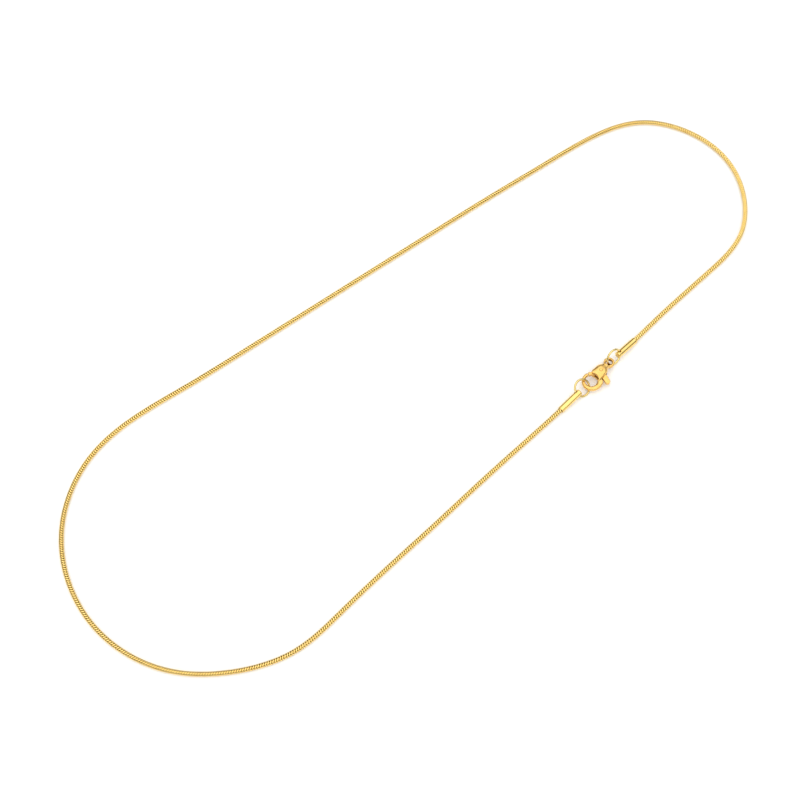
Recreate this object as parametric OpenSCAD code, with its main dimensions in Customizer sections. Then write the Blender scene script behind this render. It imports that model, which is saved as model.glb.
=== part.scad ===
// Round snake chain necklace with drilled tube end caps, two jump rings and a lobster clasp.
// It lies closed on a flat surface at z = 0, its long axis along X. Lengths are in millimetres.

/* [Chain] */
// Length of the whole necklace round its loop, clasp included
necklace_l = 450; // [420:10:500]
// Outer diameter of the round chain
chain_d = 1.2; // [1.0:0.05:1.3]
// Length of chain held inside each end cap
chain_grip = 3.6; // [3.0:0.1:3.7]

/* [End caps] */
// Wall of an end cap round the chain
cap_wall = 0.1; // [0.09:0.01:0.18]
// Length of an end cap
cap_l = 6.6; // [6.2:0.1:7.6]
// Depth of the blind bore that takes the chain
cap_bore_l = 4.4; // [4.2:0.1:4.6]
// Distance from the middle of the ring hole to the closed end
cap_hole_inset = 0.85; // [0.75:0.05:1.0]

/* [Jump rings] */
// Diameter of the rings' wire
ring_wire_d = 0.5; // [0.4:0.02:0.54]
// Inside diameter of a ring
ring_inner_d = 3.5; // [3.4:0.05:3.8]

/* [Clasp body] */
// Thickness of the body at the rivet
body_t = 2.8; // [2.7:0.1:3.1]
// Radius of the body round the rivet, seen from above
body_r = 1.55; // [1.45:0.05:1.65]
// Thickness of the hook
hook_t = 1.04; // [1.0:0.02:1.1]
// Radius of the hook's outer edge
hook_r = 2.4; // [2.3:0.05:2.45]
// Radius of the claw's opening
claw_r = 1.42; // [1.36:0.02:1.46]
// Thickness of the eye
eye_t = 1.1; // [0.9:0.05:1.2]
// Radius of the eye's outer edge
eye_r = 1.3; // [1.25:0.01:1.35]
// Radius of the eye's hole
eye_hole_r = 0.74; // [0.7:0.01:0.78]

/* [Clasp lever] */
// Thickness of the lever
lever_t = 0.84; // [0.7:0.02:0.9]
// Radius of the rivet
pin_r = 0.35; // [0.3:0.01:0.4]

/* [Hidden] */
$fn = 96;

// Length of the necklace that the guide points draw
drawn_l = 450;
loop_k = necklace_l / drawn_l;

// Guide points of the chain between its end caps, seen from above
route = [
    [7.5, -28.5], [-7.5, -29.5], [-22.5, -31], [-37, -32], [-52.5, -33.5], [-67, -35.5], [-82, -28.5],
    [-92.5, -18.5], [-97.5, -3.5], [-95.5, 11.5], [-88, 24.5], [-74.5, 33.5], [-60, 35], [-44.5, 33],
    [-30, 32], [-15, 31], [0, 30], [15, 29], [30, 28], [45, 27], [60, 25.5], [75, 24.5], [89.5, 20.5],
    [97.5, 5.5], [96, -9], [85, -22], [70, -23], [55, -24]
];
// Spacing of the guide points where the chain enters a cap
lead = 3.5;
chain_sides = 8;

// Stretches of the chain, each the number of its last span and the rings in it
stretches = [[1, 5], [7, 11], [14, 23], [22, 10], [29, 20], [32, 5], [33, 5]];

// Gaps between pieces that touch or pass through each other on the real thing
rest_gap = 0.01;
chain_gap = 0.1;
hole_gap = 0.175;
slot_gap = 0.06;
tip_gap = 0.16;
pin_gap = 0.03;
flush_gap = 0.02;

// The clasp lies flat: the rivet's place, and the clasp's turn about it
clasp_at = [31.7 * loop_k, -26.55 * loop_k, body_t / 2];
clasp_turn = 0.75;

// Places in the clasp's own plane, from the rivet: +x towards the eye, +y towards the gate
claw_at = [-3.4, -0.3];
hook_at = [-3.3, -0.5];
dome_at = [0.25, 0.2];
eye_at = [3.15, 0.5];
neck_from = [0.9, 0.15];
neck_from_r = 1.1;
neck_to = [1.8, 0.3];
neck_to_r = 0.65;
neck_t = 1.9;
spine_from = [-2.7, -2.1];
spine_to = [-1.4, -1.75];
spine_r = 0.75;
gate_root = [-1.8, 0.95];
gate_root_r = 0.45;
tab_root = [-0.3, -1.8];
tab_root_r = 0.65;
tab_tip = [-0.55, -2.95];
tab_tip_r = 0.6;

// The lever's reach from the rivet, the cheeks' reach beside the gate and the tab, and the room that
// the lever swings in
tip_r = 3.0;
shoulder_r = 2.1;
cheek_r = 1.8;
hub_r = 0.95;
arm_r = 0.6;
hub_room_r = 1.15;
root_room_r = 2.0;
gate_to = 160;
window_from = 100;
window_to = 186;
gate_room_from = 106;
gate_room_to = 210;
root_room_from = 220;
root_room_to = 326;
tab_room_from = 237;
tab_room_to = 314;

// Rounding of the faces and edges, and the place of the body's ridge along the clasp
body_crown_r = 3.2;
ridge_x = -0.6;
body_cross_r = 2.2;
hook_f = 0.4;
claw_f = 0.4;
eye_f = 0.32;
eye_hole_f = 0.25;
cap_f = 0.25;
edge_steps = 4;
wedge_step = 30;

// Cutters run past what they cut, and webs end just inside the discs that they join
overrun = 0.5;
reach = 12;
weld = 0.01;

// Where each ring's wire crosses the clasp's middle plane, its lean and its yaw
ring_a_cross = [-4.18, -0.22];
ring_a_lean = 40;
ring_a_yaw = 7;
ring_b_cross = [2.9, 0.3];
ring_b_lean = 66.5;
ring_b_yaw = 2;

// Rows of the rings: crossing, lean, yaw, and the side that the clasp is on
ring_a = [ring_a_cross, ring_a_lean, ring_a_yaw, 1];
ring_b = [ring_b_cross, ring_b_lean, ring_b_yaw, -1];
function crossing(ring) = ring[0];
function lean(ring) = ring[1];
function yaw(ring) = ring[2];
function side(ring) = ring[3];

chain_r = chain_d / 2;
ring_r = (ring_inner_d + ring_wire_d) / 2;
cap_bore_r = chain_r + chain_gap;
cap_r = cap_bore_r + cap_wall;
cap_hole_r = ring_wire_d / 2 + hole_gap;

// A cap's straight hole passes midway through the bow of the wire inside the cap
hole_reach = (ring_r + sqrt(ring_r * ring_r - cap_r * cap_r)) / 2;
slot_t = lever_t + 2 * slot_gap;

function unit(v) = v / norm(v);

// A vector turned about the vertical by a
function spun(v, a) = [cos(a) * v[0] - sin(a) * v[1], sin(a) * v[0] + cos(a) * v[1], v[2]];

// A point of the clasp's middle plane in the necklace's frame
function on_clasp(p) = clasp_at + spun([p[0], p[1], 0], clasp_turn);

// Height of a leaning ring's middle when its lowest point rests on the surface
function ring_z(ring) = ring_wire_d / 2 + rest_gap + ring_r * sin(lean(ring));

// Middle of a ring whose wire passes through its crossing point
function ring_at(ring) =
    let (dz = clasp_at[2] - ring_z(ring), s = dz / sin(lean(ring)),
        out = side(ring) * sqrt(ring_r * ring_r - s * s))
    on_clasp(crossing(ring)) - spun([out, s * cos(lean(ring)), dz], yaw(ring));

// Sine of a cap's climb from the surface, so that its axis meets the ring's middle
function cap_climb(ring) =
    (ring_z(ring) - cap_r - rest_gap) / (cap_l - cap_hole_inset + hole_reach);

// Place of the cap's hole on the ring, as an angle, its direction from the ring's middle, and the
// direction of the wire there
function hole_angle(ring) = asin(cap_climb(ring) / sin(lean(ring)));
function hole_dir(ring) =
    let (b = hole_angle(ring))
    -spun([side(ring) * cos(b), sin(b) * cos(lean(ring)), sin(b) * sin(lean(ring))], yaw(ring));
function wire_dir(ring) =
    let (b = hole_angle(ring))
    spun([-side(ring) * sin(b), cos(b) * cos(lean(ring)), cos(b) * sin(lean(ring))], yaw(ring));
function hole_at(ring) = ring_at(ring) + hole_reach * hole_dir(ring);

// Direction of a cap from its ring hole to its mouth, aimed at the next guide point of the chain
function cap_dir(ring, next) =
    let (flat = unit([next[0] - hole_at(ring)[0], next[1] - hole_at(ring)[1]]),
        rise = cap_climb(ring), run = sqrt(1 - rise * rise))
    [flat[0] * run, flat[1] * run, -rise];
function mouth_at(ring, next) = hole_at(ring) + (cap_l - cap_hole_inset) * cap_dir(ring, next);

// Guide points from inside a cap to the surface in front of it
function lead_in(ring, next) =
    let (m = mouth_at(ring, next), d = cap_dir(ring, next))
    concat([for (s = [chain_grip + lead, chain_grip, chain_grip - lead]) m - s * d],
        [[m[0] + lead * d[0], m[1] + lead * d[1], chain_r]]);
function backwards(list) = [for (i = [len(list) - 1 : -1 : 0]) list[i]];

first = loop_k * route[0];
last = loop_k * route[len(route) - 1];
guide = concat(lead_in(ring_a, first), [for (p = route) [loop_k * p[0], loop_k * p[1], chain_r]],
    backwards(lead_in(ring_b, last)));

// Point and direction of the smooth curve through the guide points' neighbourhoods, a cubic B-spline
function span(u) = min(floor(u), len(guide) - 4);
function curve(u) =
    let (k = span(u), t = u - k)
    (pow(1 - t, 3) * guide[k] + (3 * pow(t, 3) - 6 * t * t + 4) * guide[k + 1]
        + (-3 * pow(t, 3) + 3 * t * t + 3 * t + 1) * guide[k + 2] + pow(t, 3) * guide[k + 3]) / 6;
function heading(u) =
    let (k = span(u), t = u - k)
    unit(-pow(1 - t, 2) * guide[k] + (3 * t * t - 4 * t) * guide[k + 1]
        + (-3 * t * t + 2 * t + 1) * guide[k + 2] + t * t * guide[k + 3]);

// Points of a round with middle c, from angle a0 to a1
function round_edge(c, r, a0, a1) = [for (i = [0 : edge_steps])
    let (a = a0 + (a1 - a0) * i / edge_steps) c + r * [cos(a), sin(a)]];

// Shapes that several pieces use

// A plate of thickness t about the middle plane
module slab(t) {
    translate([0, 0, -t / 2]) linear_extrude(height = t) children();
}

// A disc of radius r and thickness t whose rim is rounded by f
module rounded_disc(r, t, f) {
    rotate_extrude()
        polygon(concat([[0, -t / 2]], round_edge([r - f, f - t / 2], f, -90, 0),
            round_edge([r - f, t / 2 - f], f, 0, 90), [[0, t / 2]]));
}

// The cutter of a hole of radius r, rounded by f where it leaves a plate of thickness t
module flared_hole(r, t, f) {
    rotate_extrude()
        polygon(concat([[0, -t / 2 - overrun], [r + f, -t / 2 - overrun]],
            round_edge([r + f, f - t / 2], f, 270, 180), round_edge([r + f, t / 2 - f], f, 180, 90),
            [[r + f, t / 2 + overrun], [0, t / 2 + overrun]]));
}

// Two upright discs at p and q and the web between their outer tangents
module limb(p, rp, q, rq, t) {
    d = q - p;
    a = atan2(d[1], d[0]);
    b = acos((rp - rq) / norm(d));
    translate(p) cylinder(r = rp, h = t, center = true);
    translate(q) cylinder(r = rq, h = t, center = true);
    slab(t) polygon([for (e = [[p, rp, b], [q, rq, b], [q, rq, -b], [p, rp, -b]])
        e[0] + (e[1] - weld) * [cos(a + e[2]), sin(a + e[2])]]);
}

// A wedge about the rivet between the angles a0 and a1, out to r or a little more
module wedge(r, a0, a1) {
    steps = ceil((a1 - a0) / wedge_step);
    rim = r / cos((a1 - a0) / steps / 2);
    polygon(concat([[0, 0]], [for (i = [0 : steps])
        let (a = a0 + (a1 - a0) * i / steps) rim * [cos(a), sin(a)]]));
}

// The part of a disc of radius r about the rivet between the angles a0 and a1
module disc_wedge(r, a0, a1) {
    intersection() {
        circle(r = r);
        wedge(reach, a0, a1);
    }
}

// The space between two round bars laid over the faces of the body, which crowns both faces
module crown(r) {
    intersection() {
        translate([0, 0, r - body_t / 2]) children();
        translate([0, 0, body_t / 2 - r]) children();
    }
}

// Turns a piece made along the vertical into the direction d
module aimed(d) {
    rotate([0, acos(d[2]), atan2(d[1], d[0])]) children();
}

// Puts a piece made about the rivet into its place on the surface
module on_rivet() {
    translate(clasp_at) rotate([0, 0, clasp_turn]) children();
}

// Chain: an eight-sided tube swept along the curve, closed at both ends
module snake_chain() {
    us = concat([0], [for (i = [0 : len(stretches) - 1])
        let (from = i == 0 ? 0 : stretches[i - 1][0], to = stretches[i][0], n = stretches[i][1])
        for (j = [1 : n]) from + (to - from) * j / n]);
    rims = [for (u = us)
        let (h = heading(u), left = unit([-h[1], h[0], 0]), up = cross(h, left))
        for (j = [0 : chain_sides - 1])
            let (a = 360 * j / chain_sides)
            curve(u) + chain_r * (cos(a) * left + sin(a) * up)];
    walls = [for (i = [0 : len(us) - 2]) for (j = [0 : chain_sides - 1])
        let (a = i * chain_sides, k = (j + 1) % chain_sides)
        [a + j, a + chain_sides + j, a + chain_sides + k, a + k]];
    head = [for (j = [0 : chain_sides - 1]) j];
    tail = [for (j = [chain_sides - 1 : -1 : 0]) len(rims) - chain_sides + j];
    color("gold") polyhedron(points = rims, faces = concat(walls, [head, tail]));
}

// End cap: a tube with a closed rounded end, drilled across for its ring
module end_cap(ring, next) {
    translate(hole_at(ring)) difference() {
        aimed(cap_dir(ring, next)) difference() {
            translate([0, 0, cap_l / 2 - cap_hole_inset]) rounded_disc(cap_r, cap_l, cap_f);
            translate([0, 0, cap_l - cap_hole_inset - cap_bore_l]) cylinder(r = cap_bore_r, h = cap_l);
        }
        aimed(wire_dir(ring)) cylinder(r = cap_hole_r, h = reach, center = true);
    }
}

module end_cap_a() {
    color("gold") end_cap(ring_a, first);
}

module end_cap_b() {
    color("gold") end_cap(ring_b, last);
}

// Jump ring: round wire bent to a closed ring, leaning on the surface
module jump_ring(ring) {
    translate(ring_at(ring)) rotate([lean(ring), 0, yaw(ring)])
        rotate_extrude() translate([ring_r, 0]) circle(r = ring_wire_d / 2);
}

module jump_ring_a() {
    color("gold") jump_ring(ring_a);
}

module jump_ring_b() {
    color("gold") jump_ring(ring_b);
}

// The crowned middle of the clasp's body, from the hook to the rivet
module body_core() {
    intersection() {
        limb(hook_at, hook_r, dome_at, body_r, body_t);
        crown(body_crown_r) translate([ridge_x, 0, 0]) rotate([90, 0, 0])
            cylinder(r = body_crown_r, h = reach, center = true);
        crown(body_cross_r) rotate([0, 90, 0]) cylinder(r = body_cross_r, h = reach, center = true);
    }
}

// The slot between the body's cheeks, where the lever's hub, gate and tab swing
module lever_room() {
    cylinder(r = hub_room_r, h = slot_t, center = true);
    slab(slot_t) disc_wedge(tip_r + tip_gap, gate_room_from, gate_room_to);
    slab(slot_t) disc_wedge(root_room_r, root_room_from, root_room_to);
    slab(slot_t) wedge(reach, tab_room_from, tab_room_to);
}

// The cutter that opens the body from face to face, farther than r from the rivet
module opened_beyond(r) {
    slab(reach) difference() {
        children();
        circle(r = r);
    }
}

module clasp_body() {
    color("gold") on_rivet() difference() {
        union() {
            body_core();
            translate(hook_at) rounded_disc(hook_r, hook_t, hook_f);
            limb(spine_from, spine_r, spine_to, spine_r, hook_t);
            limb(neck_from, neck_from_r, neck_to, neck_to_r, neck_t);
            translate(eye_at) rounded_disc(eye_r, eye_t, eye_f);
        }
        translate(claw_at) flared_hole(claw_r, hook_t, claw_f);
        translate(claw_at) cylinder(r = claw_r, h = reach, center = true);
        translate(eye_at) flared_hole(eye_hole_r, eye_t, eye_hole_f);
        opened_beyond(shoulder_r) disc_wedge(tip_r + tip_gap, window_from, window_to);
        opened_beyond(cheek_r) wedge(reach, tab_room_from, tab_room_to);
        lever_room();
        cylinder(r = pin_r + pin_gap, h = reach, center = true);
    }
}

// Clasp lever: the hub, the gate that follows the hook's curve, and the thumb tab
module clasp_lever() {
    color("goldenrod") on_rivet() difference() {
        union() {
            cylinder(r = hub_r, h = lever_t, center = true);
            limb([0, 0], arm_r, gate_root, gate_root_r, lever_t);
            limb([0, 0], arm_r, tab_root, tab_root_r, lever_t);
            limb(tab_root, tab_root_r, tab_tip, tab_tip_r, lever_t);
            slab(lever_t) difference() {
                intersection() {
                    translate(hook_at) circle(r = hook_r);
                    disc_wedge(tip_r, gate_room_from, gate_to);
                }
                translate(claw_at) circle(r = claw_r);
            }
        }
        cylinder(r = pin_r + 2 * pin_gap, h = reach, center = true);
    }
}

// Rivet through both cheeks and the lever
module lever_pin() {
    color("gold") on_rivet() cylinder(r = pin_r, h = body_t - 2 * flush_gap, center = true);
}

snake_chain();
end_cap_a();
end_cap_b();
jump_ring_a();
jump_ring_b();
clasp_body();
clasp_lever();
lever_pin();
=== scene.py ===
"""Looks of a round snake chain necklace that lies closed on a pale floor.

Every length is in metres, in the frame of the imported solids. The chain is drawn link by link along
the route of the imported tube. Caps, clasp and lever are cast shapes: each is a distance field, made
of the same sizes as its solid, whose zero surface becomes the mesh.
"""

import logging
import math
from collections.abc import Callable, Sequence
from dataclasses import dataclass, field, replace
from enum import Enum

import bpy
import numpy as np
import numpy.typing as npt
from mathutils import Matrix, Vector


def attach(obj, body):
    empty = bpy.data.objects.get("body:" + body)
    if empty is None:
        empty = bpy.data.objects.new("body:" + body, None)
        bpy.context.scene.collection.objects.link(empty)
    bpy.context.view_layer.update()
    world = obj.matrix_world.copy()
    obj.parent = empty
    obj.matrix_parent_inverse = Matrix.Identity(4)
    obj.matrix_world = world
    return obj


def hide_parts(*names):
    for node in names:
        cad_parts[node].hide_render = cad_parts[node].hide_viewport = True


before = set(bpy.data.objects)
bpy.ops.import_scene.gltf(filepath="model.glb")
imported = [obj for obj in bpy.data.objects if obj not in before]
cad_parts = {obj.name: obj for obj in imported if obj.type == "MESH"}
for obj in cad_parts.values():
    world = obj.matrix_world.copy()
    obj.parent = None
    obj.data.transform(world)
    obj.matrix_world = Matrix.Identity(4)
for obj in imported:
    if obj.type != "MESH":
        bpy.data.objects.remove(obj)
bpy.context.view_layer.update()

Array = npt.NDArray[np.float64]
Field = Callable[[Array], Array]
Pair = tuple[float, float]

log = logging.getLogger("necklace")

MM = 1e-3
CURVE_SAMPLES = 8001
NEWTON_ROUNDS = 3

# Guide points of the chain between its end caps, seen from above
ROUTE: tuple[Pair, ...] = (
    (0.0075, -0.0285), (-0.0075, -0.0295), (-0.0225, -0.031), (-0.037, -0.032), (-0.0525, -0.0335),
    (-0.067, -0.0355), (-0.082, -0.0285), (-0.0925, -0.0185), (-0.0975, -0.0035), (-0.0955, 0.0115),
    (-0.088, 0.0245), (-0.0745, 0.0335), (-0.06, 0.035), (-0.0445, 0.033), (-0.03, 0.032),
    (-0.015, 0.031), (0.0, 0.03), (0.015, 0.029), (0.03, 0.028), (0.045, 0.027), (0.06, 0.0255),
    (0.075, 0.0245), (0.0895, 0.0205), (0.0975, 0.0055), (0.096, -0.009), (0.085, -0.022),
    (0.07, -0.023), (0.055, -0.024),
)


class Body(Enum):
    """The bodies that pieces ride on."""

    NECKLACE = "necklace"
    LEVER = "lever"


class Slot(Enum):
    """The record's material slots."""

    CHAIN = "gold_chain"
    FINDINGS = "gold_findings"


# Vectors


def unit(v: Array) -> Array:
    """Scales vectors to length one.

    Args:
        v: Vectors along the last axis.

    Returns:
        The unit vectors.
    """
    return v / np.linalg.norm(v, axis=-1, keepdims=True)


def polar(radius: float, degrees: float) -> Array:
    """Gives the plane point at a radius and an angle.

    Args:
        radius: Distance from the origin.
        degrees: Angle from +x.

    Returns:
        The point, two values.
    """
    a = math.radians(degrees)
    return radius * np.array([math.cos(a), math.sin(a)])


def spun(v: Array, degrees: float) -> Array:
    """Turns vectors about the vertical.

    Args:
        v: Vectors, three values each.
        degrees: Angle of the turn.

    Returns:
        The turned vectors.
    """
    c, s = math.cos(math.radians(degrees)), math.sin(math.radians(degrees))
    return np.stack([c * v[..., 0] - s * v[..., 1], s * v[..., 0] + c * v[..., 1], v[..., 2]], axis=-1)


def frame_of(axis: Array) -> Array:
    """Makes a frame whose third row is the given axis.

    Args:
        axis: A direction.

    Returns:
        Three unit rows at right angles: sideways, upwards and along the axis.
    """
    w = unit(axis)
    u = unit(np.array([-w[1], w[0], 0.0]))
    return np.stack([u, np.cross(w, u), w])


# Meshes


def add_object(name: str, points: Array, quads: npt.NDArray[np.int32], material: bpy.types.Material,
               uv: Array | None = None) -> bpy.types.Object:
    """Makes a smooth object of quads.

    Args:
        name: Name of the object.
        points: Corners, one row each.
        quads: Four corner numbers a face.
        material: Material of every face.
        uv: One pair a corner of the mesh, or nothing.

    Returns:
        The object, at the origin.
    """
    mesh = bpy.data.meshes.new(name)
    mesh.vertices.add(len(points))
    mesh.vertices.foreach_set("co", points.astype(np.float32).ravel())
    mesh.loops.add(quads.size)
    mesh.loops.foreach_set("vertex_index", quads.astype(np.int32).ravel())
    mesh.polygons.add(len(quads))
    mesh.polygons.foreach_set("loop_start", np.arange(0, quads.size, 4, dtype=np.int32))
    mesh.polygons.foreach_set("use_smooth", np.ones(len(quads), dtype=bool))
    mesh.update(calc_edges=True)
    if uv is not None:
        layer = mesh.uv_layers.new(name="wrap")
        layer.data.foreach_set("uv", uv[quads.ravel()].astype(np.float32).ravel())
    mesh.validate()
    mesh.materials.append(material)
    obj = bpy.data.objects.new(name, mesh)
    bpy.context.scene.collection.objects.link(obj)
    return obj


def torus_quads(rows: int, columns: int) -> npt.NDArray[np.int32]:
    """Joins a grid of points that closes both ways.

    Point (i, j) has number i * columns + j. A face joins (i, j), (i+1, j), (i+1, j+1), (i, j+1),
    each taken round the grid's ends.

    Args:
        rows: Points the first way.
        columns: Points the second way.

    Returns:
        Four corner numbers a face.
    """
    i, j = np.meshgrid(np.arange(rows), np.arange(columns), indexing="ij")
    a, b = (i + 1) % rows, (j + 1) % columns
    quads = np.stack([i * columns + j, a * columns + j, a * columns + b, i * columns + b], axis=-1)
    return quads.reshape(-1, 4)


def edge_ends(k: int) -> tuple[tuple[slice, ...], tuple[slice, ...]]:
    """Picks both ends of every edge of a grid along one axis.

    Args:
        k: The axis.

    Returns:
        The slices of the first ends, and those of the second ends.
    """
    whole = slice(None)
    first = tuple(slice(None, -1) if m == k else whole for m in range(3))
    return first, tuple(slice(1, None) if m == k else whole for m in range(3))


def surface_net(shape: Field, low: Array, high: Array, cell: float) -> tuple[Array, npt.NDArray[np.int32]]:
    """Finds the zero surface of a distance field, as quads.

    Each cell of the grid that the surface crosses gets one point, the mean of where the surface
    cuts the cell's edges: p = a + (b - a) f(a) / (f(a) - f(b)). Each grid edge that it crosses
    gets the face that joins the points of the four cells round it. Newton steps
    p - f(p) grad f / |grad f|^2 then carry the points onto the surface, by half a cell at most, and
    |grad f|^2 is taken to be 0.25 or more.

    Args:
        shape: The field, negative inside.
        low: Lowest corner of the box searched.
        high: Highest corner of the box searched.
        cell: Side of a cell.

    Returns:
        The points, and four corner numbers a face.
    """
    counts = np.ceil((high - low) / cell).astype(int) + 1
    axes = [low[k] + cell * np.arange(counts[k]) for k in range(3)]
    grid = np.stack(np.meshgrid(*axes, indexing="ij"), axis=-1)
    f = shape(grid)
    inside = f < 0
    total = np.zeros(tuple(counts - 1) + (3,))
    hits = np.zeros(tuple(counts - 1))
    for k in range(3):
        first, second = edge_ends(k)
        crossed = inside[first] != inside[second]
        share = np.where(crossed, f[first] / np.where(crossed, f[first] - f[second], 1.0), 0.0)
        point = grid[first].copy()
        point[..., k] += cell * share
        others = [m for m in range(3) if m != k]
        for da in (0, 1):
            for db in (0, 1):
                cut = [slice(None)] * 3
                cut[others[0]] = slice(da, counts[others[0]] - 1 + da)
                cut[others[1]] = slice(db, counts[others[1]] - 1 + db)
                total += np.where(crossed[tuple(cut)][..., None], point[tuple(cut)], 0.0)
                hits += crossed[tuple(cut)]
    number = np.full(hits.shape, -1)
    used = hits > 0
    number[used] = np.arange(int(used.sum()))
    points = total[used] / hits[used][:, None]
    faces = []
    for k in range(3):
        first, second = edge_ends(k)
        b, c = (k + 1) % 3, (k + 2) % 3
        at = np.argwhere(inside[first] != inside[second])
        at = at[(at[:, b] > 0) & (at[:, c] > 0) & (at[:, b] < counts[b] - 1) & (at[:, c] < counts[c] - 1)]
        eb, ec = np.eye(3, dtype=int)[b], np.eye(3, dtype=int)[c]
        around = ((0, 0), (1, 0), (1, 1), (0, 1))
        ring = np.stack([number[tuple((at - s * eb - t * ec).T)] for s, t in around], axis=-1)
        outward = inside[first][tuple(at.T)]
        faces.append(np.where(outward[:, None], ring, ring[:, ::-1]))
    for _ in range(NEWTON_ROUNDS):
        step = cell / 20
        value = shape(points)
        rise = [shape(points + step * e) - shape(points - step * e) for e in np.eye(3)]
        slope = np.stack(rise, axis=-1) / (2 * step)
        move = value[:, None] * slope / np.maximum((slope ** 2).sum(-1, keepdims=True), 0.25)
        points = points - np.clip(move, -cell / 2, cell / 2)
    return points, np.concatenate(faces).astype(np.int32)


# Distance fields: each takes points and gives distances, negative inside


def smooth_min(a: Array, b: Array, k: float) -> Array:
    """Joins two fields with a fillet: min(a, b) - h^2 k / 4, where h = max(k - |a - b|, 0) / k.

    Args:
        a: First field's values.
        b: Second field's values.
        k: Width of the fillet.

    Returns:
        The joined values.
    """
    h = np.maximum(k - np.abs(a - b), 0.0) / k
    return np.minimum(a, b) - h * h * k / 4


def smooth_max(a: Array, b: Array, k: float) -> Array:
    """Keeps what is inside both fields, with a rounded edge: -smooth_min(-a, -b, k).

    Args:
        a: First field's values.
        b: Second field's values.
        k: Width of the rounding.

    Returns:
        The values of the common part.
    """
    return -smooth_min(-a, -b, k)


def disc(p: Array, middle: Sequence[float], radius: float) -> Array:
    """Distance from a disc in the plane: |p - m| - r.

    Args:
        p: Points; their first two values count.
        middle: The disc's middle.
        radius: The disc's radius.

    Returns:
        The distances.
    """
    return np.hypot(p[..., 0] - middle[0], p[..., 1] - middle[1]) - radius


def taper(p: Array, a: Sequence[float], ra: float, b: Sequence[float], rb: float) -> Array:
    """Distance from two discs in the plane and the web between their outer tangents.

    With h the place along a-b of the nearest disc between them, that is
    |p - a - h (b - a)| - ra - h (rb - ra), where h allows for the slope of the tangents.

    Args:
        p: Points; their first two values count.
        a: Middle of the first disc.
        ra: Its radius.
        b: Middle of the second disc.
        rb: Its radius.

    Returns:
        The distances.
    """
    ax, ay = b[0] - a[0], b[1] - a[1]
    length = math.hypot(ax, ay)
    along = ((p[..., 0] - a[0]) * ax + (p[..., 1] - a[1]) * ay) / length
    across = np.abs((p[..., 0] - a[0]) * ay - (p[..., 1] - a[1]) * ax) / length
    slope = (ra - rb) / length
    h = np.clip((along + across * slope / math.sqrt(1 - slope * slope)) / length, 0.0, 1.0)
    return np.hypot(along - h * length, across) - ra - h * (rb - ra)


def plate(flat: Array, z: Array, half: float | Array, edge: float) -> Array:
    """Gives a plane shape a thickness and rounded edges.

    With q = (flat + e, |z| - half + e): min(max(q1, q2), 0) + |max(q, 0)| - e.

    Args:
        flat: Distances from the plane shape.
        z: Heights from the middle plane.
        half: Half of the thickness.
        edge: Radius of the edges.

    Returns:
        The distances.
    """
    q1, q2 = flat + edge, np.abs(z) - half + edge
    return np.minimum(np.maximum(q1, q2), 0.0) + np.hypot(np.maximum(q1, 0.0), np.maximum(q2, 0.0)) - edge


def bow(d: Array, radius: float) -> Array:
    """Drop of a round bar's surface beside its top: r - sqrt(r^2 - d^2).

    Args:
        d: Distances from the top line.
        radius: Radius of the bar.

    Returns:
        The drops, held where d passes the bar's side.
    """
    return radius - np.sqrt(np.maximum(radius ** 2 - d * d, 0.0025 * radius ** 2))


def sector(p: Array, start: float, end: float) -> Array:
    """Distance from the wedge between two angles, at most half a turn apart.

    The wedge is what lies left of the ray at start and right of the ray at end.

    Args:
        p: Points; their first two values count.
        start: Angle of the first side, in degrees.
        end: Angle of the second side, in degrees.

    Returns:
        The distances.
    """
    a, b = polar(1.0, start), polar(1.0, end)
    return np.maximum(p[..., 0] * a[1] - p[..., 1] * a[0], p[..., 1] * b[0] - p[..., 0] * b[1])


# Finishes


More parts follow.
